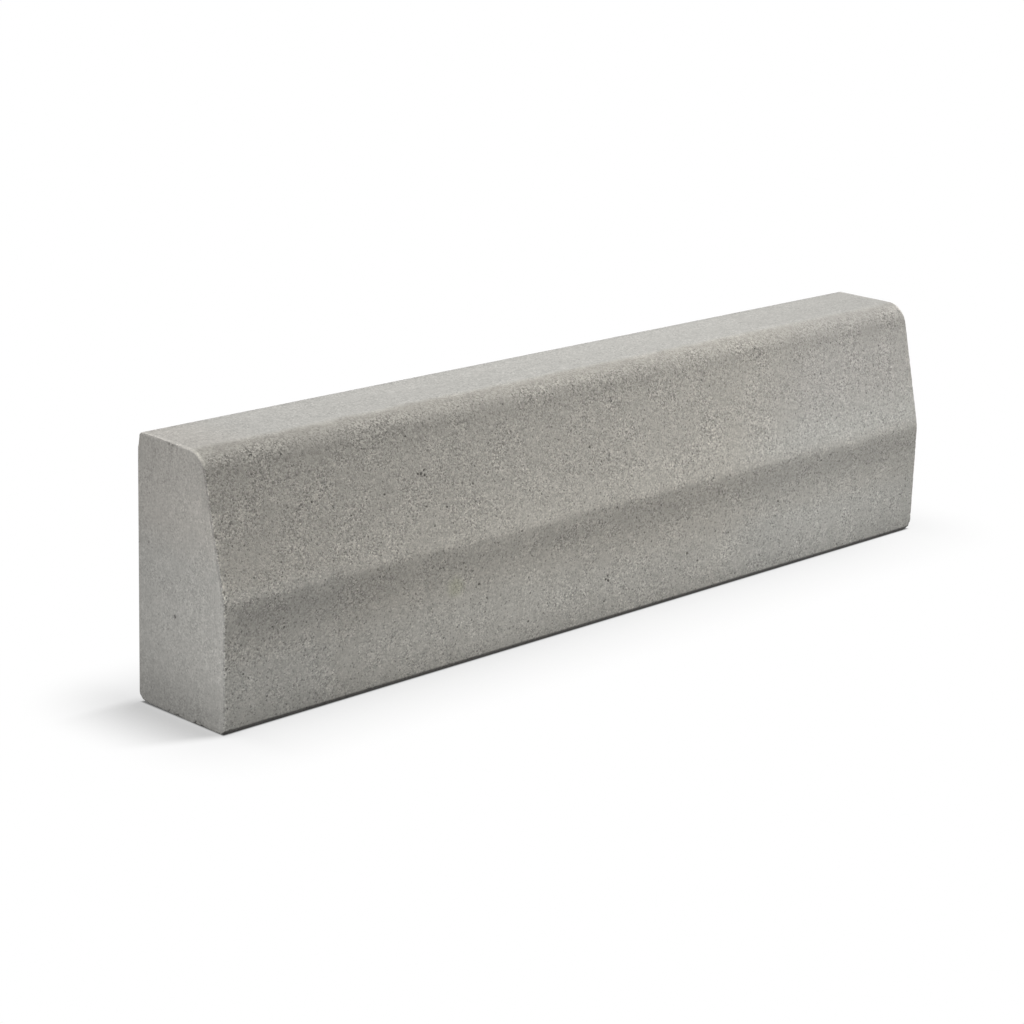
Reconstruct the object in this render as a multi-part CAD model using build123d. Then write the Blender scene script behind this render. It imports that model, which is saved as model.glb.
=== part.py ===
from build123d import *
import os

# Battered concrete kerb stone, cast in one piece and laid end to end with others along a road's edge.
#
# The kerb is one cross-section run straight along its length. The back is upright, and the bed and the
# top are level. The road face stands upright from the bed to the break, and leans back above it as the
# batter, up to the rounded nose at the top. The long edges at the bed and the back are slightly
# rounded, and so is the outline of both ends.
#
# Frame: +X along the kerb, -Y towards the road, +Z up. The origin is in the middle of the bed.
# All sizes are in millimetres.

# Overall sizes
kerb_length = 990.0
kerb_height = 250.0
bed_width = 120.0

# Road face: the top's width runs from the back to where the batter would meet the top unrounded
top_width = 90.0
break_height = 120.0
nose_radius = 25.0
break_radius = 60.0

# Edges of the moulded unit
bed_edge_radius = 5.0
back_edge_radius = 3.0
end_edge_radius = 2.0

# The rounding of an end stays inside the tightest curve of the outline that it follows
end_edge_share = 0.9


def outline_corners():
    """Corners of the cross-section before rounding, as ((Y, Z), radius), from the road side upwards."""
    road_y = -bed_width / 2
    back_y = bed_width / 2
    return [
        ((road_y, 0), bed_edge_radius),
        ((road_y, break_height), break_radius),
        ((back_y - top_width, kerb_height), nose_radius),
        ((back_y, kerb_height), back_edge_radius),
        ((back_y, 0), bed_edge_radius),
    ]


def cross_section():
    """The kerb's cross-section, seen along its length, with every corner rounded."""
    corners, radii = zip(*outline_corners())
    with BuildSketch(Plane.YZ) as section:
        with BuildLine():
            FilletPolyline(*corners, radius=radii, close=True)
        make_face()
    return section.sketch


def kerb_stone():
    """The whole kerb: the cross-section run along its length, with the outline of both ends rounded."""
    tightest_radius = min(radius for corner, radius in outline_corners())
    with BuildPart() as kerb:
        extrude(cross_section(), amount=kerb_length / 2, both=True)
        ends = kerb.faces().sort_by(Axis.X)
        fillet(ends[0].edges() + ends[-1].edges(), min(end_edge_radius, tightest_radius * end_edge_share))
    return kerb.part


os.makedirs("parts", exist_ok=True)
export_step(kerb_stone(), "parts/kerb_stone.step")
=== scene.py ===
import math
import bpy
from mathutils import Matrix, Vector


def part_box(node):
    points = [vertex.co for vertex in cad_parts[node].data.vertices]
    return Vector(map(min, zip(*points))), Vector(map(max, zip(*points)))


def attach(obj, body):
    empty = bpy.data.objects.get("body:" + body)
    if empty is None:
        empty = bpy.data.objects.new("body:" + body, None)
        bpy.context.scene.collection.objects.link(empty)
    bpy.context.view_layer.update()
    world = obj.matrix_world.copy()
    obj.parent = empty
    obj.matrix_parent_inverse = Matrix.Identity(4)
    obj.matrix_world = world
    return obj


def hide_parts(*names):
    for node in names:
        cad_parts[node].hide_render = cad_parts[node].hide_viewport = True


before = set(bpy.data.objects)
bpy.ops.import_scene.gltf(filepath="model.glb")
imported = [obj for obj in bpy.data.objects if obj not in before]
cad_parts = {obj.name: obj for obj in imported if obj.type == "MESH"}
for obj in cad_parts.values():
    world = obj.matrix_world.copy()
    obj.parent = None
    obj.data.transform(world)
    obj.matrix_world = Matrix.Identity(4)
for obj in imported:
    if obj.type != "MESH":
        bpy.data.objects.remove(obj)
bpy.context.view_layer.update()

from types import SimpleNamespace

import bmesh
import bpy
from mathutils import Vector, noise
from mathutils.kdtree import KDTree
from bpy.props import FloatProperty, FloatVectorProperty, PointerProperty
from bpy.types import Operator, Panel, PropertyGroup

bl_info = {
    "name": "Concrete kerb stone",
    "version": (1, 0, 0),
    "blender": (4, 5, 0),
    "location": "3D View > Sidebar > Kerb",
    "description": "Casts a battered concrete kerb stone with worn edges, and sets it in a plain studio",
    "category": "Object",
}

MM = 0.001
NODE = "kerb_stone"
LOW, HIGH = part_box(NODE)


# Levels above the bed in millimetres, and how pale the concrete is painted there, 1 being the plain
# paste. These are partly the concrete's own tone and partly painted light and shade: darker bands under
# the nose and under the break, paler bands below and above the break, and a darker foot on the ends.
ROAD_TONE_AND_SHADE = (
    (0, 0.96), (9, 0.99), (14, 1.045), (25, 1.13), (45, 1.17), (65, 1.14), (80, 1.06), (92, 0.955),
    (102, 0.87), (110, 0.915), (116, 0.95), (118, 1.02), (119.5, 1.13), (124, 1.18), (145, 1.13),
    (170, 1.055), (200, 1.01), (215, 0.97), (226, 0.93), (233, 0.82), (239, 0.79), (243, 0.84),
    (248, 0.82), (249.3, 0.85), (250, 0.98),
)
END_TONE_AND_SHADE = (
    (0, 0.95), (5, 0.83), (10, 0.775), (25, 0.845), (42, 0.93), (60, 0.985), (100, 0.99), (120, 0.95),
    (140, 0.95), (160, 0.94), (200, 0.95), (225, 0.90), (250, 0.895),
)
# The same along the kerb, from the near end, on the road face above and below the break, and on the top,
# again partly the concrete's own tone and partly painted light and shade along the kerb.
UPPER_RUN_TONE_AND_SHADE = (
    (0, 0.91), (60, 0.92), (150, 0.95), (250, 0.975), (350, 1.0), (550, 1.01), (750, 1.045),
    (850, 1.04), (940, 1.0), (990, 0.98),
)
LOWER_RUN_TONE_AND_SHADE = (
    (0, 0.94), (60, 0.955), (150, 0.985), (250, 1.06), (350, 1.09), (450, 1.03), (550, 0.985),
    (650, 1.01), (850, 0.98), (940, 0.925), (990, 0.89),
)
TOP_RUN_TONE_AND_SHADE = ((0, 1.0), (150, 1.03), (350, 0.99), (650, 0.99), (750, 1.01), (850, 0.975), (990, 0.94))


# Places in millimetres, from the near end, the road side and the bed, then a radius and a depth
PITS = (
    (487, 0, 44, 1.5, 1.3), (491, 0, 42, 1.7, 1.6), (490, 0, 47, 1.5, 1.1), (494, 0, 39, 1.2, 0.9),
    (247, 16.5, 191, 1.8, 1.3), (243, 16.5, 191.5, 1.5, 1.0), (251, 16, 189, 1.5, 1.1),
    (251, 17, 194, 1.4, 1.0), (310, 0, 75.5, 1.8, 1.3), (321, 0, 60, 1.5, 0.9), (486, 0, 21.5, 1.5, 0.9),
    (609, 0, 47, 1.7, 1.2), (626, 0, 36, 1.7, 1.2), (752, 0, 75.5, 1.7, 1.0), (471, 13.5, 179, 1.8, 1.0),
    (485, 10, 163, 1.5, 0.9), (310, 12, 171.5, 1.6, 0.9), (199, 14, 180.5, 1.6, 0.9),
    (113, 16, 189, 1.8, 1.0), (156, 11.5, 169, 1.5, 0.8), (248, 9.5, 161, 1.5, 0.8),
    (0, 68.7, 93, 1.8, 1.4), (0, 104.5, 153.5, 1.5, 0.6), (0, 76, 248.6, 1.3, 1.1),
    (0, 70.5, 248.4, 1.5, 1.2), (0, 77, 2.5, 1.5, 1.1), (0, 65.5, 2, 1.3, 0.9),
    (0, 57, 4.5, 1.6, 0.6), (0, 41, 1.5, 1.3, 0.8), (0, 32, 1, 1.4, 0.9), (0, 34, 4.5, 1.0, 0.6),
)
# The same for the broken corners, and for the nicks in the near end's edge on the road side
CORNERS = (
    (0, 120, 0, 9.0, 1.2), (0, 0, 0, 6.0, 1.2), (990, 0, 0, 11.0, 1.7), (990, 30, 250, 4.0, 0.8),
    (0, 122, 245, 9.0, 1.3),
)
NICKS = (
    (0, 0, 112, 3.0, 0.9), (0, 0, 64, 2.6, 0.8), (0, 3, 131, 2.6, 0.8), (0, 14, 180, 2.4, 0.8),
)


class KerbForm(PropertyGroup):
    """Sizes of the cast kerb and of the mesh that carries its relief."""

    length: FloatProperty(
        name="Length", description="Length of the kerb", default=HIGH[0] - LOW[0], unit="LENGTH")
    height: FloatProperty(
        name="Height", description="Height from the bed to the top", default=HIGH[2] - LOW[2],
        unit="LENGTH")
    bed_width: FloatProperty(
        name="Bed width", description="Width of the bed", default=HIGH[1] - LOW[1], unit="LENGTH")
    top_width: FloatProperty(
        name="Top width", description="Width from the back to where the batter would meet the top",
        default=90 * MM, unit="LENGTH")
    break_height: FloatProperty(
        name="Break height", description="Height at which the road face starts to lean back",
        default=120 * MM, unit="LENGTH")
    nose_radius: FloatProperty(
        name="Nose radius", description="Radius of the rounded nose", default=25 * MM, unit="LENGTH")
    break_radius: FloatProperty(
        name="Break radius", description="Radius that softens the break", default=60 * MM,
        unit="LENGTH")
    bed_edge: FloatProperty(
        name="Bed edge radius", description="Radius of the bed's long edges", default=5 * MM,
        unit="LENGTH")
    back_edge: FloatProperty(
        name="Back edge radius", description="Radius of the back's top edge", default=3 * MM,
        unit="LENGTH")
    end_edge: FloatProperty(
        name="End edge radius", description="Radius round both ends", default=2 * MM, unit="LENGTH")
    face_step: FloatProperty(
        name="Face step", description="Spacing of the mesh on the road face", default=2 * MM,
        unit="LENGTH")
    top_step: FloatProperty(
        name="Top step", description="Spacing of the mesh across the top", default=3 * MM,
        unit="LENGTH")
    end_step: FloatProperty(
        name="End step", description="Spacing of the mesh on the ends", default=2 * MM, unit="LENGTH")
    hidden_step: FloatProperty(
        name="Hidden step", description="Spacing of the mesh on the back and the bed",
        default=10 * MM, unit="LENGTH")
    relief: FloatProperty(
        name="Relief", description="Depth of the granular relief of the road face",
        default=0.36 * MM, unit="LENGTH")
    waviness: FloatProperty(
        name="Waviness", description="Depth of the faces' slow unevenness", default=0.12 * MM,
        unit="LENGTH")
    wear: FloatProperty(
        name="Edge wear", description="Depth of the nibbled places along the edges",
        default=0.65 * MM, unit="LENGTH")
    deepest: FloatProperty(
        name="Deepest hollow", description="Depth that the full weight of a hollow stands for",
        default=2 * MM, unit="LENGTH")
    rim_unevenness: FloatProperty(
        name="Rim unevenness", description="Size of the bumps in the rim of a hollow",
        default=1.6 * MM, unit="LENGTH")
    corner_lift: FloatProperty(
        name="Corner lift",
        description="Height by which the near end stands clear of the floor at its back",
        default=1.6 * MM, unit="LENGTH")


class ConcreteFinish(PropertyGroup):
    """Colours and grain of the concrete."""

    paste: FloatVectorProperty(
        name="Paste", description="Colour of the cement paste on the batter", subtype="COLOR", size=3,
        min=0, max=1, default=(0.430, 0.411, 0.370))
    cool_paste: FloatVectorProperty(
        name="Cool paste",
        description="Colour of the paste low on the road face and towards its far end",
        subtype="COLOR", size=3, min=0, max=1, default=(0.418, 0.411, 0.383))
    far_paste: FloatVectorProperty(
        name="Far paste", description="Colour of the paste on the batter towards its far end",
        subtype="COLOR", size=3, min=0, max=1, default=(0.4255, 0.411, 0.3825))
    smooth_paste: FloatVectorProperty(
        name="Smooth paste", description="Colour where the mould left the concrete smooth",
        subtype="COLOR",
        size=3, min=0, max=1, default=(0.441, 0.432, 0.407))
    warm_smooth: FloatVectorProperty(
        name="Warm smooth paste", description="Colour of the smooth concrete high on the near end",
        subtype="COLOR", size=3, min=0, max=1, default=(0.448, 0.430, 0.399))
    stain: FloatVectorProperty(
        name="Stain", description="Colour of the faint stain on the road face", subtype="COLOR", size=3,
        min=0, max=1, default=(0.419, 0.411, 0.338))
    stain_place: FloatVectorProperty(
        name="Stain place", description="Where the stain is", subtype="TRANSLATION", unit="LENGTH",
        size=3, default=(-0.216, -0.06, 0.08))
    stain_size: FloatProperty(
        name="Stain size", description="Radius of the stain", default=15 * MM, unit="LENGTH")
    grain: FloatProperty(
        name="Grain", description="Size of the sand grains", default=1.4 * MM, unit="LENGTH")
    bump_depth: FloatProperty(
        name="Bump depth", description="Depth of the finest relief, which only the light shows",
        default=0.9 * MM, unit="LENGTH")
    roughness: FloatProperty(
        name="Roughness", description="Roughness of the surface", subtype="FACTOR",
        min=0, max=1, default=0.9)


class KerbStudio(PropertyGroup):
    """Camera, lamps and floor."""

    camera_place: FloatVectorProperty(
        name="Camera place", description="Where the camera stands",
        subtype="TRANSLATION", unit="LENGTH",
        size=3, default=(-1.98133, -1.83574, 0.88195))
    camera_turn: FloatVectorProperty(
        name="Camera turn", description="How the camera is turned, about X, Y and Z", subtype="EULER",
        unit="ROTATION", size=3,
        default=(math.radians(73.7777), math.radians(-1.7311), math.radians(-45.4734)))
    camera_lens: FloatProperty(
        name="Camera lens", description="Focal length in millimetres on a 36 mm sensor", default=99.169)
    floor_size: FloatProperty(
        name="Floor size", description="Side of the floor", default=60.0, unit="LENGTH")
    floor_colour: FloatVectorProperty(
        name="Floor colour", description="Colour of the floor", subtype="COLOR", size=3,
        min=0, max=1, default=(0.6, 0.6, 0.6))
    side_shadow: FloatProperty(
        name="Side shadow",
        description="How much of the floor's shading the camera sees beside the kerb",
        subtype="FACTOR", min=0, max=1, default=0.27)
    end_shadow: FloatProperty(
        name="End shadow", description="How much of it the camera sees beyond the near end",
        subtype="FACTOR", min=0, max=1, default=0.55)
    corner_shadow: FloatProperty(
        name="Corner shadow",
        description="How much of it shows beyond the end, in front of the road face",
        subtype="FACTOR", min=0, max=1, default=0.16)
    back_shadow: FloatProperty(
        name="Back shadow", description="How much of it shows beyond the end, behind the back",
        subtype="FACTOR", min=0, max=1, default=0.33)
    shadow_reach: FloatProperty(
        name="Shadow reach",
        description="Distance from the kerb at which the floor has turned plain white",
        default=0.11, unit="LENGTH")
    lamp_size: FloatProperty(
        name="Lamp size", description="Side of each square soft lamp", default=0.8, unit="LENGTH")
    top_place: FloatVectorProperty(
        name="Top lamp", description="Where the lamp overhead hangs", subtype="TRANSLATION",
        unit="LENGTH", size=3, default=(0.0, 0.0, 1.72))
    top_power: FloatProperty(
        name="Top power", description="Power of the lamp overhead, in watts", default=18.0)
    key_place: FloatVectorProperty(
        name="Key lamp", description="Where the lamp at the front right stands", subtype="TRANSLATION",
        unit="LENGTH", size=3, default=(0.927, -0.927, 1.038))
    key_power: FloatProperty(
        name="Key power", description="Power of the lamp at the front right, in watts", default=9.95)
    side_place: FloatVectorProperty(
        name="Side lamp", description="Where the low lamp beyond the near end stands",
        subtype="TRANSLATION", unit="LENGTH", size=3, default=(-1.565, 0.0, 0.453))
    side_power: FloatProperty(
        name="Side power", description="Power of the low lamp beyond the near end, in watts",
        default=5.75)
    sky_strength: FloatProperty(
        name="Sky strength", description="Brightness of the surrounding light", default=0.2)


def in_millimetres(form):
    """The lengths of the form in millimetres, by name."""
    return SimpleNamespace(**{name: getattr(form, name) / MM for name in form.__annotations__})


def start_edit(piece, mode):
    """Opens the piece in edit mode, with nothing selected."""
    bpy.ops.object.select_all(action="DESELECT")
    bpy.context.view_layer.objects.active = piece
    piece.select_set(True)
    bpy.ops.object.mode_set(mode="EDIT")
    bpy.ops.mesh.select_mode(type=mode)
    bpy.ops.mesh.select_all(action="DESELECT")


def pick(piece, kind, test):
    """Selects the edges or the faces of the piece, open in edit mode, whose corners pass the test."""
    mesh = bmesh.from_edit_mesh(piece.data)
    bpy.ops.mesh.select_all(action="DESELECT")
    found = False
    for part in getattr(mesh, kind):
        if test([corner.co for corner in part.verts]):
            part.select_set(True)
            found = True
    mesh.select_flush_mode()
    bmesh.update_edit_mesh(piece.data, loop_triangles=False)
    if not found:
        raise RuntimeError(f"none of the {kind} of {piece.name} is where it should be")


def near(value, target, room=0.01 * MM):
    """Whether two lengths are the same, within a hundredth of a millimetre."""
    return abs(value - target) < room


def length_of(corners):
    """Distance between the two ends of an edge."""
    return (corners[1] - corners[0]).length


def middle_of(corners):
    """Middle of an edge."""
    return (corners[0] + corners[1]) / 2


def at_one_end(corners, form):
    """Whether the corners all lie in the flat of the same end."""
    return near(abs(corners[0].x), form.length / 2) and all(
        near(corner.x, corners[0].x) for corner in corners)


def block(form):
    """A block of the kerb's overall sizes, with the road face leant back above the break."""
    half_width = form.bed_width / 2
    bpy.ops.object.select_all(action="DESELECT")
    bpy.ops.mesh.primitive_cube_add(
        size=1, location=(0, 0, form.height / 2), scale=(form.length, form.bed_width, form.height))
    piece = bpy.context.object
    piece.name = piece.data.name = "cast_kerb"
    bpy.ops.object.transform_apply(location=True, rotation=True, scale=True)
    start_edit(piece, "FACE")
    pick(piece, "faces", lambda corners: all(near(corner.y, -half_width) for corner in corners))
    bpy.ops.mesh.bisect(plane_co=(0, 0, form.break_height), plane_no=(0, 0, 1))
    bpy.ops.mesh.select_mode(type="EDGE")
    pick(piece, "edges", lambda corners: all(
        near(corner.y, -half_width) and near(corner.z, form.height) for corner in corners))
    bpy.ops.transform.translate(value=(0, form.bed_width - form.top_width, 0))
    return piece


def round_long_edges(piece, form):
    """Rounds the long edges: the bed's, the break, the nose and the back's top edge."""
    half_width = form.bed_width / 2
    lean = math.atan2(form.bed_width - form.top_width, form.height - form.break_height)
    upright = math.pi / 2
    long_edges = (
        (-half_width, 0, form.bed_edge, upright, 4),
        (-half_width, form.break_height, form.break_radius, lean, 6),
        (half_width - form.top_width, form.height, form.nose_radius, upright - lean, 16),
        (half_width, form.height, form.back_edge, upright, 3),
        (half_width, 0, form.bed_edge, upright, 3),
    )
    for y, z, radius, turn, segments in long_edges:
        pick(piece, "edges", lambda corners: length_of(corners) > form.length / 2 and all(
            near(corner.y, y) and near(corner.z, z) for corner in corners))
        bpy.ops.mesh.bevel(
            offset_type="OFFSET", offset=radius * math.tan(turn / 2), segments=segments, profile=0.5,
            affect="EDGES", clamp_overlap=False)


def divide_faces(piece, form):
    """Divides each flat long face into strips along the kerb, close together where it is seen."""
    half_width = form.bed_width / 2
    widest_arc = 8 * MM
    faces = (
        (form.face_step, lambda middle: near(middle.y, -half_width)),
        (form.face_step, lambda middle: middle.z > form.break_height and -half_width < middle.y < 0
            and middle.z < form.height - MM),
        (form.top_step, lambda middle: near(middle.z, form.height)),
        (form.hidden_step, lambda middle: near(middle.y, half_width)),
        (form.hidden_step, lambda middle: near(middle.z, 0)),
    )
    for step, at_face in faces:
        widths = []

        def across(corners):
            fits = (
                at_one_end(corners, form) and length_of(corners) > widest_arc
                and at_face(middle_of(corners)))
            if fits:
                widths.append(length_of(corners))
            return fits

        pick(piece, "edges", across)
        bpy.ops.mesh.subdivide(number_cuts=max(1, round(widths[0] / step) - 1))


def round_ends(piece, form):
    """Rounds the outline of both ends."""
    pick(piece, "edges", lambda corners: at_one_end(corners, form))
    bpy.ops.mesh.bevel(
        offset_type="OFFSET", offset=form.end_edge, segments=3, profile=0.5, affect="EDGES",
        clamp_overlap=False)


def divide_ends(piece, form):
    """Cuts both end faces into a grid, by planes through the corners of their outline."""
    merging = 0.3 * MM
    bpy.ops.mesh.select_mode(type="FACE")
    mesh = bmesh.from_edit_mesh(piece.data)
    outline = [vert.co.copy() for vert in mesh.verts if near(vert.co.x, -form.length / 2)]
    for axis, normal in ((1, (0, 1, 0)), (2, (0, 0, 1))):
        levels = []
        for level in sorted(place[axis] for place in outline):
            if not levels or level - levels[-1] > form.end_step * 0.95:
                levels.append(level)
        for level in levels[1:]:
            plane = Vector((0, 0, 0))
            plane[axis] = level
            pick(piece, "faces", lambda corners: at_one_end(corners, form))
            bpy.ops.mesh.bisect(plane_co=plane, plane_no=normal, threshold=merging)


def divide_length(piece, form):
    """Divides the long strips along the kerb, finely on the road face and the top."""
    bpy.ops.mesh.select_mode(type="EDGE")
    coarse = round(form.length / form.hidden_step) - 1
    pick(piece, "edges", lambda corners: length_of(corners) > form.length / 2)
    bpy.ops.mesh.subdivide(number_cuts=coarse)
    hidden_y = form.bed_width / 2 - form.back_edge / 2
    lowest_top = form.height - form.back_edge - form.hidden_step / 2

    def seen(corners):
        lengthwise = (
            near(corners[0].y, corners[1].y) and near(corners[0].z, corners[1].z)
            and length_of(corners) > form.hidden_step / 2)
        middle = middle_of(corners)
        at_front = middle.y < -form.bed_width / 2 + form.bed_edge + MM
        in_view = middle.y < hidden_y or middle.z > lowest_top
        return lengthwise and in_view and (at_front or middle.z > form.break_height)

    pick(piece, "edges", seen)
    bpy.ops.mesh.subdivide(number_cuts=round(form.hidden_step / form.face_step) - 1)


def weigh(piece, name, share):
    """A vertex group whose weight at each vertex is the share given for its place."""
    group = piece.vertex_groups.new(name=name)
    for vert in piece.data.vertices:
        weight = share(vert.co)
        if weight > 0:
            group.add([vert.index], min(weight, 1.0), "REPLACE")
    return name


def smooth_step(low, high, value):
    """0 below low, 1 above high, and a smooth rise between them."""
    share = min(max((value - low) / (high - low), 0.0), 1.0)
    return share * share * (3 - 2 * share)


def press_in(piece, name, group, depth, size, low=0.0, high=1.0, detail=2):
    """Sinks the surface by up to the depth, in cloudy patches of the given size.

    Where the clouds are at low or under it the surface sinks by the whole depth, and where they are at
    high or over it, it stays.
    """
    pattern = bpy.data.textures.new(name, "CLOUDS")
    pattern.noise_scale = size
    pattern.noise_depth = detail
    pattern.noise_basis = "IMPROVED_PERLIN"
    pattern.use_color_ramp = True
    for stop, position, level in zip(pattern.color_ramp.elements, (low, high), (0, 1)):
        stop.position = position
        stop.color = (level, level, level, 1)
    modifier = piece.modifiers.new(name, "DISPLACE")
    modifier.texture = pattern
    modifier.texture_coords = "LOCAL"
    modifier.direction = "NORMAL"
    modifier.vertex_group = group
    modifier.mid_level = 1.0
    modifier.strength = depth
    bpy.ops.object.modifier_apply(modifier=modifier.name)
    bpy.data.textures.remove(pattern)


def places_of(hollows, form):
    """Middle, radius and depth of each hollow, in metres in the kerb's own frame."""
    return [
        (Vector((along * MM - form.length / 2, across * MM - form.bed_width / 2, level * MM)),
         radius * MM, depth * MM)
        for along, across, level, radius, depth in hollows]


def refine(piece, form):
    """Makes the mesh finer where a pit, a nick or a broken corner comes, with no faces without area."""
    room, thinnest, passes = 0.5 * MM, 0.1 * MM, 3
    start_edit(piece, "FACE")
    middles = places_of(PITS + NICKS + CORNERS, form)
    pick(piece, "faces", lambda corners: any(
        (sum(corners, Vector()) / len(corners) - middle).length < radius * 1.25 + room
        for middle, radius, depth in middles))
    bpy.ops.mesh.subdivide(number_cuts=2)
    for turn in range(passes):
        bpy.ops.mesh.select_all(action="SELECT")
        bpy.ops.mesh.dissolve_degenerate(threshold=thinnest)
    bpy.ops.object.mode_set(mode="OBJECT")


def hollow_out(piece, name, hollows, form):
    """Sinks hollows with uneven rims, and tells how deep each vertex went."""
    tree = KDTree(len(piece.data.vertices))
    for vert in piece.data.vertices:
        tree.insert(vert.co, vert.index)
    tree.balance()
    shares = {}
    for middle, radius, depth in places_of(hollows, form):
        for place, index, distance in tree.find_range(middle, radius * 1.5):
            uneven = distance + noise.noise(place / form.rim_unevenness) * radius * 0.4
            share = depth / form.deepest * (1 - smooth_step(radius * 0.45, radius, uneven))
            shares[index] = max(share, shares.get(index, 0.0))
    group = piece.vertex_groups.new(name=name)
    for index, share in shares.items():
        group.add([index], share, "REPLACE")
    modifier = piece.modifiers.new(name, "DISPLACE")
    modifier.vertex_group = name
    modifier.mid_level = 0.0
    modifier.strength = -form.deepest
    bpy.ops.object.modifier_apply(modifier=modifier.name)
    return shares


def ease(piece, group, rounds):
    """Evens out the surface in a vertex group."""
    modifier = piece.modifiers.new("ease", "SMOOTH")
    modifier.vertex_group = group
    modifier.factor = 0.5
    modifier.iterations = rounds
    bpy.ops.object.modifier_apply(modifier=modifier.name)


def roughen(piece, form):
    """Gives the faces their cast unevenness and grain, and the edges their wear."""
    half_width, half_length = form.bed_width / 2, form.length / 2
    lean = (form.bed_width - form.top_width) / (form.height - form.break_height)

    def edge_share(place):
        """How much a place wears, by how near it is to an edge: to the second nearest face."""
        from_face = half_width + place.y - max(place.z - form.break_height, 0) * lean
        distances = (
            half_length - abs(place.x), half_width - place.y, form.height - place.z, place.z, from_face)
        from_edge = sorted(distances)[1]
        worn = 1.0 if from_face <= from_edge and place.z > form.bed_edge * 2 else 0.5
        return worn * (1 - smooth_step(0, 4 * MM, from_edge))

    def road_share(place):
        """1 on the road face and the nose, fading out on the top."""
        return 1 - smooth_step(-27 * MM, -17 * MM, place.y)

    bpy.ops.object.select_all(action="DESELECT")
    bpy.context.view_layer.objects.active = piece
    piece.select_set(True)
    everywhere = weigh(piece, "everywhere", lambda place: 1.0)
    edges = weigh(piece, "edges", edge_share)
    road = weigh(piece, "road_face", road_share)
    press_in(piece, "waviness", everywhere, form.waviness, 70 * MM)
    press_in(piece, "grain", road, form.relief, 5 * MM, low=0.2, high=0.8, detail=1)
    press_in(piece, "wear", edges, form.wear, 6 * MM, low=0.2, high=0.45)


def lift_corner(piece, form):
    """Lifts the foot of the near end, more and more towards the back."""

    def share(place):
        along = 1 - smooth_step(0, 25 * MM, place.x + form.length / 2)
        return along * smooth_step(-15 * MM, 50 * MM, place.y) * (1 - smooth_step(0, 12 * MM, place.z))

    modifier = piece.modifiers.new("corner_lift", "DISPLACE")
    modifier.vertex_group = weigh(piece, "near_foot", share)
    modifier.direction = "Z"
    modifier.mid_level = 0.0
    modifier.strength = form.corner_lift
    bpy.ops.object.modifier_apply(modifier=modifier.name)


def cast_kerb(form):
    """The kerb's mesh, from a plain block to its worn surface."""
    piece = block(form)
    round_long_edges(piece, form)
    divide_faces(piece, form)
    round_ends(piece, form)
    divide_ends(piece, form)
    divide_length(piece, form)
    bpy.ops.mesh.select_all(action="SELECT")
    bpy.ops.mesh.normals_make_consistent(inside=False)
    bpy.ops.object.mode_set(mode="OBJECT")
    refine(piece, form)
    roughen(piece, form)
    lift_corner(piece, form)
    hollow_out(piece, "corners", CORNERS, form)
    ease(piece, "corners", rounds=32)
    hollow_out(piece, "nicks", NICKS, form)
    shares = hollow_out(piece, "pits", PITS, form)
    depths = piece.data.attributes.new("pit_depth", "FLOAT", "POINT")
    for index, share in shares.items():
        depths.data[index].value = share
    bpy.ops.object.shade_smooth()
    evened = piece.modifiers.new("even_normals", "WEIGHTED_NORMAL")
    bpy.ops.object.modifier_apply(modifier=evened.name)
    return piece


class Wire:
    """An output of a node, on which sums and products add the nodes that work them out."""

    def __init__(self, sheet, socket):
        self.sheet = sheet
        self.socket = socket

    def twin(self, name):
        """Another output of the same node."""
        return Wire(self.sheet, self.socket.node.outputs[name])

    def __add__(self, other):
        return self.sheet.maths("ADD", self, other)

    def __sub__(self, other):
        return self.sheet.maths("SUBTRACT", self, other)

    def __mul__(self, other):
        return self.sheet.maths("MULTIPLY", self, other)

    def __truediv__(self, other):
        return self.sheet.maths("DIVIDE", self, other)

    def __rsub__(self, other):
        return self.sheet.maths("SUBTRACT", other, self)

    __radd__ = __add__


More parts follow.
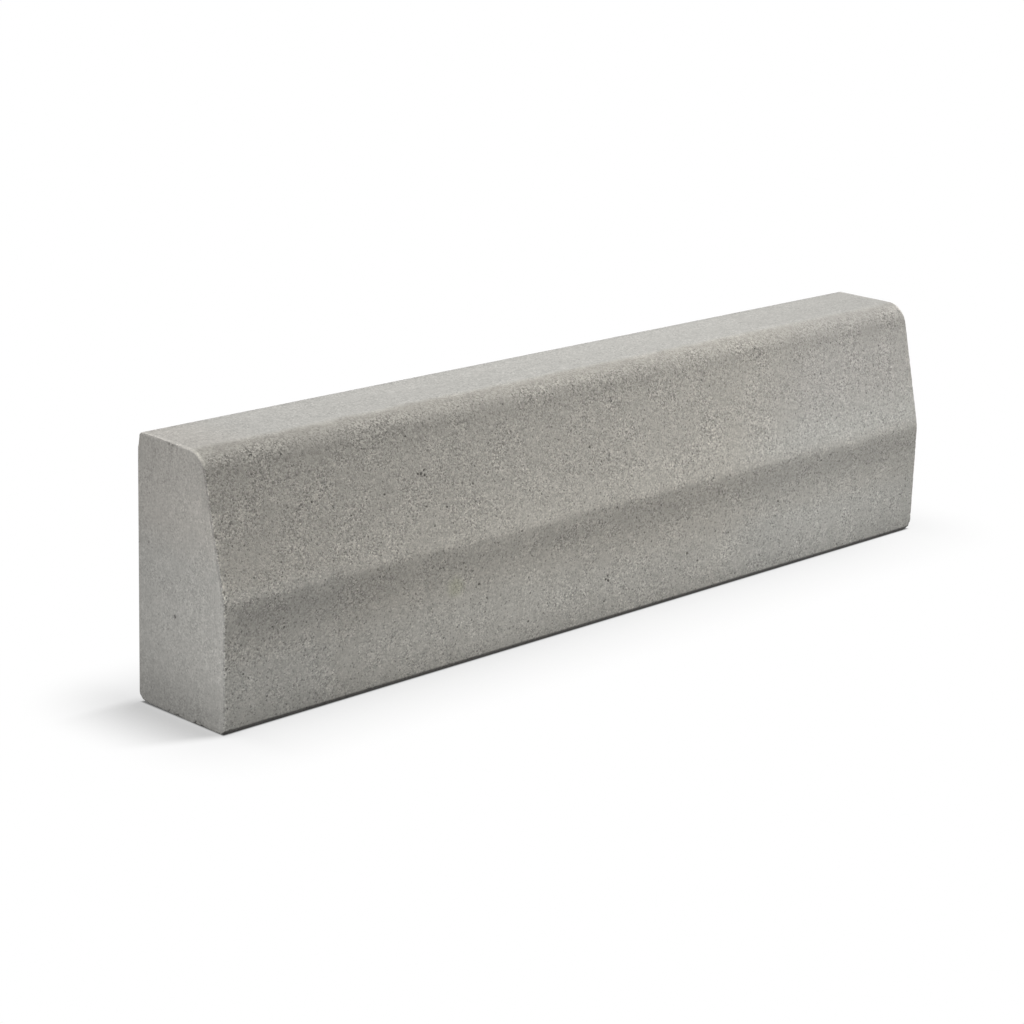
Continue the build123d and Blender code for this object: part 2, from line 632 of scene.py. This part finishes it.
class Sheet:
    """The node tree of a new material, or of a new world."""

    def __init__(self, owner):
        self.owner = owner
        owner.use_nodes = True
        self.tree = owner.node_tree
        self.tree.nodes.clear()

    def node(self, kind, settings=None, sockets=None, output=0):
        """Adds a node: its settings first, then the values or wires of its sockets."""
        made = self.tree.nodes.new(kind)
        for name, value in (settings or {}).items():
            if name == "stops":
                for position, grey in value[len(made.color_ramp.elements):]:
                    made.color_ramp.elements.new(position)
                for element, (position, grey) in zip(made.color_ramp.elements, value):
                    element.position = position
                    element.color = (grey, grey, grey, 1)
            else:
                setattr(made, name, value)
        for name, value in (sockets or {}).items():
            if isinstance(value, Wire):
                self.tree.links.new(value.socket, made.inputs[name])
            else:
                made.inputs[name].default_value = value
        return Wire(self, made.outputs[output]) if made.outputs else None

    def maths(self, operation, *values):
        """A sum, product or other function of one, two or three values."""
        return self.node("ShaderNodeMath", {"operation": operation}, dict(enumerate(values)))

    def place(self):
        """The place of a point, in millimetres."""
        return self.node("ShaderNodeVectorMath", {"operation": "SCALE"}, {
            "Vector": self.node("ShaderNodeTexCoord", output="Object"), "Scale": 1 / MM})

    def axes(self, place):
        """The x, y and z of a place."""
        x = self.node("ShaderNodeSeparateXYZ", {}, {"Vector": place}, output="X")
        return x, x.twin("Y"), x.twin("Z")

    def beyond(self, value, limit):
        """How far a value lies outside the range from minus the limit to the limit."""
        return self.maths("MAXIMUM", self.maths("ABSOLUTE", value) - limit, 0.0)

    def noise(self, place, size, detail=2.0, roughness=0.5):
        """Soft noise of patches of the given size, about 0 to 1."""
        return self.node("ShaderNodeTexNoise", {}, {
            "Vector": place, "Scale": 1 / size, "Detail": detail, "Roughness": roughness})

    def rise(self, value, low, high):
        """0 below low, 1 above high, and a smooth rise between them."""
        return self.node("ShaderNodeMapRange", {"interpolation_type": "SMOOTHSTEP"}, {
            "Value": value, "From Min": low, "From Max": high})

    def fall(self, value, low, high):
        """1 below low, 0 above high, and a smooth fall between them."""
        return 1 - self.rise(value, low, high)

    def band(self, value, low, full, fading, high):
        """1 from full to fading, 0 below low and above high, and smooth between them."""
        return self.rise(value, low, full) * self.fall(value, fading, high)

    def dots(self, place, spacing, size):
        """1 in the middle of scattered round dots, and 0 between them."""
        distance = self.node("ShaderNodeTexVoronoi", {}, {"Vector": place, "Scale": 1 / spacing})
        return self.fall(distance * spacing, size * 0.4, size)

    def tone(self, distance, tones, extent):
        """How pale the concrete is at a distance, from pairs of a distance and a tone."""
        ramp = [(stop / extent, shade / 2) for stop, shade in tones]
        return self.node("ShaderNodeValToRGB", {"stops": ramp}, {"Fac": distance / extent}) * 2

    def between(self, share, first, second):
        """The first value where the share is 0, the second where it is 1."""
        return share * second + (1 - share) * first

    def shown(self):
        """1 for what the camera sees, straight, mirrored or through glass, and 0 for the light."""
        path = self.node("ShaderNodeLightPath")
        mirrored = self.maths("MAXIMUM", path.twin("Is Glossy Ray"), path.twin("Is Transmission Ray"))
        return self.maths("MAXIMUM", path, mirrored)

    def mix(self, share, *colours):
        """The first colour where the share is 0, the second where it is 1."""
        first, second = (colour if isinstance(colour, Wire) else (*colour, 1) for colour in colours)
        return self.node("ShaderNodeMix", {"data_type": "RGBA"}, {
            "Factor": share, 6: first, 7: second}, output=2)


class Spot:
    """A point of the concrete: its place in millimetres, its face and the clouds of tone over it."""

    drift_reach = 5

    def __init__(self, sheet, finish, kerb):
        self.place = place = sheet.place()
        self.x, self.y, self.z = x, y, z = sheet.axes(place)
        half_width = kerb.bed_width / 2
        lean = (kerb.bed_width - kerb.top_width) / (kerb.height - kerb.break_height)
        self.along = x + kerb.length / 2
        self.from_end = kerb.length / 2 - sheet.maths("ABSOLUTE", x)
        self.from_face = y + half_width - sheet.maths("MAXIMUM", z - kerb.break_height, 0.0) * lean
        arc_start = kerb.nose_radius * math.tan((math.pi / 2 - math.atan(lean)) / 2)
        nose_y = sheet.maths("MINIMUM", y - (half_width - kerb.top_width + arc_start), 0.0)
        nose_z = z - (kerb.height - kerb.nose_radius)
        self.from_nose = kerb.nose_radius - sheet.maths("SQRT", nose_y * nose_y + nose_z * nose_z)

        self.drift = drift = (sheet.noise(place, 24, 3) - 0.5) * self.drift_reach
        self.clouds = sheet.noise(place, 230, 3) - 0.5
        self.mottle = sheet.noise(place, 9, 3, 0.65) - 0.5
        self.grit = sheet.noise(place, finish.grain / MM * 1.6, 2, 0.75) - 0.5

        worn_back = sheet.rise(y, 6, 42) * sheet.rise(z, 228, 240) * 2
        self.end = sheet.fall(self.from_end + self.grit * 1.2 - worn_back, 0.3, 1.1)
        self.road = sheet.fall(y + drift * 1.5, -19, -8) * (1 - self.end)
        self.level = 1 - self.road - self.end
        smooth_band = 3 + sheet.rise(z, 215, 240) * 6
        crown = sheet.fall(y + drift, -28, -18)
        self.rough = self.road * crown * sheet.rise(self.from_end + drift * 2, 0.5, smooth_band)
        self.above = sheet.rise(z, kerb.break_height - 5, kerb.break_height + 15)
        self.batter = self.rough * self.above
        self.under_break = sheet.band(z, 84, 92, 108, 114)
        self.coarse = (self.batter * 0.6 + self.rough * 0.4) * sheet.rise(
            sheet.noise(place, 45, 3), 0.30, 0.66)


class Grains:
    """The sand, pores and pinholes at a spot of the concrete, and how strongly they show."""

    def __init__(self, sheet, finish, spot):
        bent = sheet.node("ShaderNodeVectorMath", {"operation": "MULTIPLY_ADD"}, {
            0: sheet.noise(spot.place, 1.6, 1).twin("Color"), 1: (1.4,) * 3, 2: spot.place})
        self.cells = sheet.node("ShaderNodeTexVoronoi", {}, {"Vector": bent, "Scale": MM / finish.grain})
        sand = sheet.node(
            "ShaderNodeSeparateColor", {}, {"Color": self.cells.twin("Color")}, output="Red")
        self.sand = sand - 0.5
        self.dark = sheet.rise(sand.twin("Green"), 0.93, 0.96)
        self.pale = sheet.rise(sand.twin("Blue"), 0.94, 0.97)
        self.pores = sheet.dots(bent, 13, 1.5)
        self.pinholes = sheet.dots(bent, 5, 0.9)

        patches = sheet.rise(sheet.noise(spot.place, 28, 4, 0.65), 0.32, 0.68)
        strong = 0.62 + patches * 0.76 + (patches - 0.5) * (spot.rough - spot.batter) * 0.35
        strong = strong * (1 - sheet.rise(spot.x, 100, 450) * 0.12)
        under_nose = sheet.band(spot.z, 226, 238, 244, 248)
        along_nose = 0.34 - sheet.rise(spot.x, -460, -380) * 0.14 - sheet.rise(spot.x, 50, 200) * 0.18
        self.strong = strong * (1 + spot.rough * (
            under_nose * along_nose + spot.under_break * 0.16 + spot.clouds * 0.7))


def face_tone_and_shade(sheet, spot, kerb):
    """How pale the road face, the ends and the level faces are painted, by level and along the kerb:
    partly their own tone and partly painted light and shade.
    """
    road = sheet.tone(spot.z + spot.drift, ROAD_TONE_AND_SHADE, kerb.height)
    lower_run = sheet.tone(spot.along, LOWER_RUN_TONE_AND_SHADE, kerb.length)
    upper_run = sheet.tone(spot.along, UPPER_RUN_TONE_AND_SHADE, kerb.length)
    road = road * sheet.between(spot.above, lower_run, upper_run)
    end = sheet.tone(spot.z + spot.drift, END_TONE_AND_SHADE, kerb.height)
    # Painted light: the end is paler towards the road side and darker towards the back.
    end = end * (1.02 - spot.y / kerb.bed_width * 0.24)
    top = 0.94 + sheet.rise(spot.y, 12, 40) * 0.045 - sheet.rise(spot.y, 47, 57) * 0.045
    top = top + sheet.fall(spot.y, -11, -5) * 0.03
    top = top * sheet.tone(spot.along, TOP_RUN_TONE_AND_SHADE, kerb.length)
    return spot.road * road + spot.end * end + spot.level * top


def grain_tone_and_pit_shade(sheet, spot, grains):
    """How much paler or darker the clouds, the streaks and the grains make the concrete, with painted
    shade in the pits.
    """
    end, road, rough, level, coarse = spot.end, spot.road, spot.rough, spot.level, spot.coarse
    strong = grains.strong
    stretched = sheet.node("ShaderNodeVectorMath", {"operation": "MULTIPLY"}, {
        0: spot.place, 1: (0.35, 1, 0.3)})
    streaks = sheet.noise(stretched, 3.5, 3, 0.7) - 0.5
    pits = sheet.node("ShaderNodeAttribute", {"attribute_name": "pit_depth"}, output="Fac")

    tone = 1 + spot.clouds * 0.12 + spot.drift * (road * 0.15 / spot.drift_reach)
    tone = tone * (1 + spot.mottle * (0.12 + end * 0.10 + rough * 0.15 - spot.batter * 0.08))
    tone = tone * (1 + streaks * (0.24 + end * 0.14 + level * 0.06 - road * 0.24))
    tone = tone * (1 + strong * spot.grit * (
        0.34 + rough * 0.08 + level * 0.06 - coarse * 0.04 - end * 0.04))
    tone = tone * (1 + strong * grains.sand * (0.34 + rough * 0.05 + coarse * 0.33 - end * 0.04))
    tone = tone * (1 - grains.dark * (0.14 + rough * 0.20)) * (1 + grains.pale * (0.06 + rough * 0.12))
    tone = tone * (1 - grains.pores * (0.16 + rough * 0.34))
    tone = tone * (1 - strong * grains.pinholes * (0.08 + rough * 0.26))
    # Painted shade in the pits: the deeper a hollow was sunk, the darker it is.
    return tone * (1 - sheet.maths("MINIMUM", pits * 1.3, 0.6))


def rim_light_and_shade(sheet, spot):
    """Painted highlights on the rims where the ends meet the nose and the top, and darker along the
    end's top edge towards the back.
    """
    on_arc = sheet.rise(spot.z, 233.5, 246)
    crest = sheet.rise(spot.z, 248.2, 249.8)
    at_nose = sheet.fall(spot.y, -8, 5)
    back_half = sheet.rise(spot.y, 5, 25)
    below_crest = on_arc * sheet.fall(spot.z, 247, 249)
    around = (
        sheet.fall(spot.from_end, 1.5, 4.5) * (on_arc * (1 - crest) * 0.70 + crest * at_nose * 0.28)
        + sheet.fall(spot.from_end, 3, 7.5) * crest * (1 - at_nose) * (0.15 + back_half * 0.16)
        + sheet.fall(spot.from_end, 10, 26) * below_crest * 0.18)
    on_end = on_arc * at_nose * sheet.fall(spot.from_nose, 0.8, 2.4) * 0.62
    return (1 - spot.end) * around + spot.end * on_end - spot.end * crest * back_half * 0.12


def edge_light_shade_and_wear(sheet, spot, grains):
    """Painted light and shade along the edges, with the nibbled edges' own grain: paler rims and arris,
    a dark line beside each end's edge with the road face, and a painted shadow along the foot.
    """
    end, road, z, from_end, from_face = spot.end, spot.road, spot.z, spot.from_end, spot.from_face
    high = sheet.rise(z, 188, 204)
    # Painted highlight on the road face beside the end's arris, used at the near end.
    arris_highlight = (1 - end) * sheet.fall(from_end, 1.5, 4) * sheet.rise(z, 110, 130) * (1 - high * 0.6)
    line_end = 3.5 + sheet.rise(z, 105, 122) * 0.9
    # Painted light and shade on the end: a faintly paler band inside a dark line beside its edge with
    # the road face.
    end_band = end * sheet.rise(from_face, line_end - 0.8, line_end + 0.6)
    end_band = end_band * sheet.fall(from_face, 6.5, 10 + high * 4) * (1 - high * 3.6)
    inner = 0.5 - sheet.rise(z, 120, 150) * 0.9 + high * 0.9
    end_shade_line = end * sheet.fall(from_face, line_end - 1.4, line_end) * sheet.between(
        sheet.rise(from_face, 1, 2.2), inner, 1)
    end_shade_line = end_shade_line * sheet.fall(z, 238, 246)
    # Painted light and shade on the road face close to the ends, paler most under the break, used at the
    # near end.
    lift = road * sheet.fall(from_end, 6, 22) * (
        spot.above * (0.03 - high * 0.05) + spot.under_break * 0.12 - 0.01)
    near_half = sheet.fall(spot.x, -100, 100)
    # Painted shadow: a dark line along the foot, where the kerb meets the floor, strongest on the road
    # face.
    painted_foot_shadow = sheet.fall(z, 3.8, 6.1) * (0.10 + road * 0.68)
    nibbled = sheet.fall(sheet.maths("MAXIMUM", from_end, from_face), 1.5, 3)
    tone = (1 - painted_foot_shadow) * (
        1 + rim_light_and_shade(sheet, spot) + end_band * 0.04 - end_shade_line * (0.17 + high * 0.11)
        + near_half * (arris_highlight * 0.14 + lift))
    return tone * (1 + nibbled * (spot.grit * 1.7 + grains.sand * 0.45))


def cool_share(sheet, spot):
    """How much of the road face's paste is the cool one: far off, near the near end, and low down."""
    x, z, above, clouds = spot.x, spot.z, spot.above, spot.clouds
    sheltered = sheet.rise(z, 50, 75) * (1 - above)
    far = sheet.rise(x - z * 0.6 + clouds * 80, 80, 230)
    far = far * (1 - sheet.rise(z, 205, 240) * 0.30 - sheltered * 0.45)
    near_and_low = sheet.fall(x, -400, -310) * (1 - above) * (0.8 - sheltered * 0.35)
    low = sheet.fall(z + clouds * 60, 40, 85) * 0.5
    return sheet.maths("MAXIMUM", far, sheet.maths("MAXIMUM", near_and_low, low))


def ground_colour(sheet, finish, spot):
    """Colour of the paste, before its tone."""
    stain_place = [distance / MM for distance in finish.stain_place]
    stain_size = finish.stain_size / MM
    from_stain = sheet.node("ShaderNodeVectorMath", {"operation": "DISTANCE"}, {
        0: spot.place, 1: stain_place}, output="Value")
    stain = sheet.fall(from_stain + spot.drift * 2, stain_size * 0.2, stain_size)
    cooler = sheet.mix(sheet.rise(spot.z, 130, 190), finish.cool_paste, finish.far_paste)
    granular = sheet.mix(cool_share(sheet, spot), finish.paste, cooler)
    granular = sheet.mix(stain, granular, finish.stain)
    warm = sheet.fall(spot.x, -475, -400) * sheet.rise(spot.z + spot.drift * 4, 135, 185)
    smooth = sheet.mix(warm, finish.smooth_paste, finish.warm_smooth)
    return sheet.mix(spot.road, smooth, granular)


def relief_height(spot, grains):
    """Height of the fine relief, as a share of the bump's distance."""
    rough, coarse = spot.rough, spot.coarse
    return (
        spot.grit * (0.30 + rough * 0.20 + coarse * 0.20) + spot.mottle * 0.4
        - grains.cells * (0.06 + rough * 0.10 + coarse * 0.22)
        - (grains.pores + grains.pinholes * 0.5) * (0.2 + rough * 0.5))


def concrete(finish, form):
    """The kerb's concrete: granular on the road face, and smooth on all the other faces."""
    sheet = Sheet(bpy.data.materials.new("cast_concrete"))
    kerb = in_millimetres(form)
    spot = Spot(sheet, finish, kerb)
    grains = Grains(sheet, finish, spot)
    # The colour carries painted light and shade from the tone tables, the edges' lines and rims and the
    # pits, besides the concrete's own tone and grain.
    tone = face_tone_and_shade(sheet, spot, kerb)
    tone = tone * grain_tone_and_pit_shade(sheet, spot, grains) * edge_light_shade_and_wear(sheet, spot, grains)
    colour = sheet.node("ShaderNodeVectorMath", {"operation": "SCALE"}, {
        "Vector": ground_colour(sheet, finish, spot), "Scale": tone})
    bump = sheet.node("ShaderNodeBump", {}, {
        "Strength": 1.0, "Distance": finish.bump_depth, "Height": relief_height(spot, grains)})
    surface = sheet.node("ShaderNodeBsdfPrincipled", {}, {
        "Base Color": colour, "Roughness": finish.roughness, "Normal": bump})
    sheet.node("ShaderNodeOutputMaterial", {}, {"Surface": surface})
    return sheet.owner


def floor_paint(studio, form):
    """White floor paint, which the camera sees as white but for the kerb's soft shadow."""
    sheet = Sheet(bpy.data.materials.new("floor_white"))
    kerb = in_millimetres(form)
    half_length, half_width = kerb.length / 2, kerb.bed_width / 2
    x, y = sheet.axes(sheet.place())[:2]
    under_x = half_length + 2 - sheet.maths("ABSOLUTE", x)
    under_y = half_width - sheet.maths("ABSOLUTE", y)
    contact = sheet.rise(sheet.maths("MINIMUM", under_x, under_y), 1, 4.5)
    beyond_x = sheet.beyond(x, half_length)
    beyond_y = sheet.beyond(y, half_width)
    distance = sheet.maths("SQRT", beyond_x * beyond_x + beyond_y * beyond_y)
    near_kerb = sheet.fall(distance, 0.0, studio.shadow_reach / MM)

    beyond_end = x + half_length
    near_end = sheet.fall(beyond_end, -10, 25)
    in_lane = sheet.rise(y + half_width + beyond_end * 0.4, -10, 12)
    behind = sheet.rise(y, half_width - 4, half_width + 14)
    off_end = sheet.between(in_lane, studio.corner_shadow, studio.end_shadow)
    off_end = sheet.between(behind, off_end, studio.back_shadow)
    fading = 1.05 - sheet.rise(x, -200, 100) * 0.18 - sheet.rise(x, 350, 495) * 0.35
    shadow = sheet.between(near_end, fading * studio.side_shadow, off_end)

    paint = sheet.node("ShaderNodeBsdfDiffuse", {}, {"Color": (*studio.floor_colour, 1)})
    glow = sheet.node("ShaderNodeEmission", {}, {"Color": (1, 1, 1, 1), "Strength": 1})
    surface = sheet.node("ShaderNodeMixShader", {}, {
        0: sheet.shown() * (1 - near_kerb * shadow) * (1 - contact), 1: paint, 2: glow})
    sheet.node("ShaderNodeOutputMaterial", {}, {"Surface": surface})
    return sheet.owner


def sky(studio):
    """Even light from all round, which the camera sees as a white backdrop."""
    sheet = Sheet(bpy.data.worlds.new("studio_sky"))
    light = sheet.node("ShaderNodeBackground", {}, {
        "Color": (1, 1, 1, 1), "Strength": studio.sky_strength})
    backdrop = sheet.node("ShaderNodeBackground", {}, {"Color": (1, 1, 1, 1), "Strength": 1})
    surface = sheet.node("ShaderNodeMixShader", {}, {0: sheet.shown(), 1: light, 2: backdrop})
    sheet.node("ShaderNodeOutputWorld", {}, {"Surface": surface})
    return sheet.owner


def lamp(name, place, aim, size, power):
    """A square soft lamp at its place, turned to its aim."""
    bpy.ops.object.light_add(type="AREA", location=place)
    made = bpy.context.object
    made.name = made.data.name = name
    made.data.shape = "SQUARE"
    made.data.size = size
    made.data.energy = power
    made.rotation_euler = (Vector(aim) - Vector(place)).to_track_quat("-Z", "Y").to_euler()


class KERB_OT_cast(Operator):
    """Cast the kerb in concrete, worn and rough as it stands"""

    bl_idname = "kerb.cast"
    bl_label = "Cast the kerb"
    bl_options = {"REGISTER", "UNDO"}

    def execute(self, context):
        form = context.scene.kerb_form
        piece = cast_kerb(form)
        piece.data.materials.append(concrete(context.scene.kerb_finish, form))
        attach(piece, "root")
        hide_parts(NODE)
        return {"FINISHED"}


class KERB_OT_studio(Operator):
    """Set the floor, the lamps and the camera"""

    bl_idname = "kerb.studio"
    bl_label = "Set the studio"
    bl_options = {"REGISTER", "UNDO"}

    def execute(self, context):
        studio = context.scene.kerb_studio
        scene = context.scene
        bpy.ops.object.select_all(action="DESELECT")
        bpy.ops.mesh.primitive_plane_add(size=studio.floor_size)
        floor = bpy.context.object
        floor.name = floor.data.name = "studio_floor"
        floor.data.materials.append(floor_paint(studio, scene.kerb_form))

        scene.world = sky(studio)
        aim = (0, 0, scene.kerb_form.height / 2)
        for name, place, power in (
                ("top_lamp", studio.top_place, studio.top_power),
                ("key_lamp", studio.key_place, studio.key_power),
                ("side_lamp", studio.side_place, studio.side_power)):
            lamp(name, place, aim, studio.lamp_size, power)

        bpy.ops.object.camera_add(location=studio.camera_place, rotation=studio.camera_turn)
        camera = bpy.context.object
        camera.name = camera.data.name = "studio_camera"
        camera.data.lens = studio.camera_lens
        camera.data.sensor_width = 36
        scene.camera = camera
        scene.view_settings.view_transform = "Standard"
        return {"FINISHED"}


class KERB_PT_sidebar(Panel):
    """Lists the kerb's settings and its studio's, with the buttons that cast the kerb and set the studio
    """

    bl_idname = "KERB_PT_sidebar"
    bl_label = "Concrete kerb stone"
    bl_space_type = "VIEW_3D"
    bl_region_type = "UI"
    bl_category = "Kerb"

    def draw(self, context):
        for settings in (context.scene.kerb_form, context.scene.kerb_finish, context.scene.kerb_studio):
            box = self.layout.box()
            for name in settings.__annotations__:
                box.prop(settings, name)
        for operator in (KERB_OT_cast, KERB_OT_studio):
            self.layout.operator(operator.bl_idname)


CLASSES = (KerbForm, ConcreteFinish, KerbStudio, KERB_OT_cast, KERB_OT_studio, KERB_PT_sidebar)


def register():
    for entry in CLASSES:
        bpy.utils.register_class(entry)
    bpy.types.Scene.kerb_form = PointerProperty(type=KerbForm)
    bpy.types.Scene.kerb_finish = PointerProperty(type=ConcreteFinish)
    bpy.types.Scene.kerb_studio = PointerProperty(type=KerbStudio)


def unregister():
    del bpy.types.Scene.kerb_form
    del bpy.types.Scene.kerb_finish
    del bpy.types.Scene.kerb_studio
    for entry in reversed(CLASSES):
        bpy.utils.unregister_class(entry)


def main():
    """Builds the kerb and its studio."""
    register()
    bpy.ops.kerb.cast()
    bpy.ops.kerb.studio()


if __name__ == "__main__":
    main()
